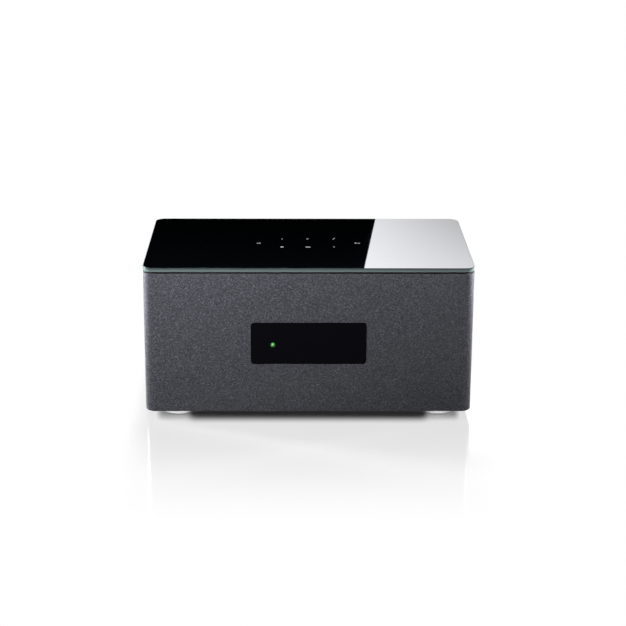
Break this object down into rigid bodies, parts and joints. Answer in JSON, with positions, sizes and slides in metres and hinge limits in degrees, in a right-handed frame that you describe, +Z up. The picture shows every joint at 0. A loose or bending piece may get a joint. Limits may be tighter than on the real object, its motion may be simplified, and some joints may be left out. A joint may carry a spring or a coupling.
{
  "type": "av amplifier",
  "caption": "Compact home cinema amplifier with a black glass touch top, front display window, round feet and rear speaker terminals, inlet and signal sockets.",
  "frame": {"origin": "centre of the outer box, on the surface that the feet stand on", "axes": "+X to the right seen from the front, the front faces -Y, +Z up"},
  "size_m": [0.3, 0.1978, 0.1453],
  "materials": {
    "anthracite_coat": "fine textured powder coat",
    "black_coat": "satin black coat",
    "black_glass": "polished float glass, painted black underneath",
    "smoked_window": "polished smoked acrylic",
    "green_lens": "clear tinted lens",
    "rubber": "moulded",
    "foot_metal": "turned and polished",
    "screw_steel": "zinc plated",
    "circuit_board": "green solder mask",
    "display_glass": "polished",
    "sensor_lens": "dark infrared resin",
    "gold_plate": "gold plated",
    "red_cap": "moulded",
    "black_cap": "moulded",
    "black_moulding": "fine spark eroded",
    "phono_moulding": "moulded",
    "socket_steel": "nickel plated",
    "nylon": "natural",
    "sink_metal": "extruded",
    "ferrite": "ground",
    "capacitor_sleeve": "shrink sleeve",
    "ribbon": "flat cable"
  },
  "bodies": {
    "chassis": {"amplifier_board": "circuit_board", "base_plate": "black_coat", "board_standoffs": "nylon", "case_screws": "screw_steel", "display_board": "circuit_board", "display_module": "display_glass", "display_ribbon": "ribbon", "display_window": "smoked_window", "foot_front_left": "foot_metal", "foot_front_right": "foot_metal", "foot_pads": "rubber", "foot_rear_left": "foot_metal", "foot_rear_right": "foot_metal", "foot_screws": "screw_steel", "glass_gasket": "rubber", "hdmi_socket_1": "socket_steel", "hdmi_socket_2": "socket_steel", "hdmi_socket_3": "socket_steel", "heat_sink": "sink_metal", "housing_sleeve": "anthracite_coat", "infrared_receiver": "sensor_lens", "inlet_pins": "socket_steel", "main_board": "circuit_board", "mains_inlet": "black_moulding", "network_socket": "socket_steel", "optical_socket": "black_moulding", "pairing_switch": "black_moulding", "phono_block": "phono_moulding", "phono_shells": "gold_plate", "power_board": "circuit_board", "rear_panel": "black_coat", "reservoir_capacitors": "capacitor_sleeve", "shield_can": "socket_steel", "speaker_ribbon": "ribbon", "status_led": "green_lens", "switch_frame": "black_moulding", "terminal_block": "black_moulding", "terminal_board": "circuit_board", "terminal_nuts": "gold_plate", "terminal_posts": "gold_plate", "top_frame": "black_coat", "top_glass": "black_glass", "touch_board": "circuit_board", "touch_ribbon": "ribbon", "transformer": "ferrite"},
    "rocker": {"switch_rocker": "black_moulding"},
    "shutter": {"optical_shutter": "black_moulding"},
    "button": {"pairing_button": "black_moulding"},
    "washer_1": {"terminal_washer_1": "gold_plate"},
    "cap_1": {"terminal_cap_1": "red_cap"},
    "washer_2": {"terminal_washer_2": "gold_plate"},
    "cap_2": {"terminal_cap_2": "red_cap"},
    "washer_3": {"terminal_washer_3": "gold_plate"},
    "cap_3": {"terminal_cap_3": "red_cap"},
    "washer_4": {"terminal_washer_4": "gold_plate"},
    "cap_4": {"terminal_cap_4": "black_cap"},
    "washer_5": {"terminal_washer_5": "gold_plate"},
    "cap_5": {"terminal_cap_5": "black_cap"},
    "washer_6": {"terminal_washer_6": "gold_plate"},
    "cap_6": {"terminal_cap_6": "black_cap"}
  },
  "joints": [
    {"name": "power_rocker", "type": "hinge", "parent": "chassis", "child": "rocker", "pos_m": [0.103, 0.077, 0.08], "axis": [1, 0, 0], "range_deg": [0, 16]},
    {"name": "optical_flap", "type": "hinge", "parent": "chassis", "child": "shutter", "pos_m": [-0.01, 0.0787, 0.10765], "axis": [-1, 0, 0], "range_deg": [0, 80], "stiffness_Nm_per_rad": 0.0002},
    {"name": "pairing_press", "type": "slide", "parent": "chassis", "child": "button", "axis": [0, -1, 0], "range_m": [0, 0.0008], "stiffness_N_per_m": 500},
    {"name": "washer_1_travel", "type": "slide", "parent": "chassis", "child": "washer_1", "axis": [0, 1, 0], "range_m": [0, 0.004]},
    {"name": "cap_1_turn", "type": "hinge", "parent": "washer_1", "child": "cap_1", "pos_m": [-0.112, 0.0857, 0.059], "axis": [0, 1, 0], "range_deg": [0, 1440]},
    {"name": "washer_2_travel", "type": "slide", "parent": "chassis", "child": "washer_2", "axis": [0, 1, 0], "range_m": [0, 0.004]},
    {"name": "cap_2_turn", "type": "hinge", "parent": "washer_2", "child": "cap_2", "pos_m": [-0.086, 0.0857, 0.059], "axis": [0, 1, 0], "range_deg": [0, 1440]},
    {"name": "washer_3_travel", "type": "slide", "parent": "chassis", "child": "washer_3", "axis": [0, 1, 0], "range_m": [0, 0.004]},
    {"name": "cap_3_turn", "type": "hinge", "parent": "washer_3", "child": "cap_3", "pos_m": [-0.06, 0.0857, 0.059], "axis": [0, 1, 0], "range_deg": [0, 1440]},
    {"name": "washer_4_travel", "type": "slide", "parent": "chassis", "child": "washer_4", "axis": [0, 1, 0], "range_m": [0, 0.004]},
    {"name": "cap_4_turn", "type": "hinge", "parent": "washer_4", "child": "cap_4", "pos_m": [-0.112, 0.0857, 0.037], "axis": [0, 1, 0], "range_deg": [0, 1440]},
    {"name": "washer_5_travel", "type": "slide", "parent": "chassis", "child": "washer_5", "axis": [0, 1, 0], "range_m": [0, 0.004]},
    {"name": "cap_5_turn", "type": "hinge", "parent": "washer_5", "child": "cap_5", "pos_m": [-0.086, 0.0857, 0.037], "axis": [0, 1, 0], "range_deg": [0, 1440]},
    {"name": "washer_6_travel", "type": "slide", "parent": "chassis", "child": "washer_6", "axis": [0, 1, 0], "range_m": [0, 0.004]},
    {"name": "cap_6_turn", "type": "hinge", "parent": "washer_6", "child": "cap_6", "pos_m": [-0.06, 0.0857, 0.037], "axis": [0, 1, 0], "range_deg": [0, 1440]}
  ],
  "couplings": [
    {"joint": "cap_1_turn", "follows": "washer_1_travel", "rad_per_m": 6283.2},
    {"joint": "cap_2_turn", "follows": "washer_2_travel", "rad_per_m": 6283.2},
    {"joint": "cap_3_turn", "follows": "washer_3_travel", "rad_per_m": 6283.2},
    {"joint": "cap_4_turn", "follows": "washer_4_travel", "rad_per_m": 6283.2},
    {"joint": "cap_5_turn", "follows": "washer_5_travel", "rad_per_m": 6283.2},
    {"joint": "cap_6_turn", "follows": "washer_6_travel", "rad_per_m": 6283.2}
  ]
}
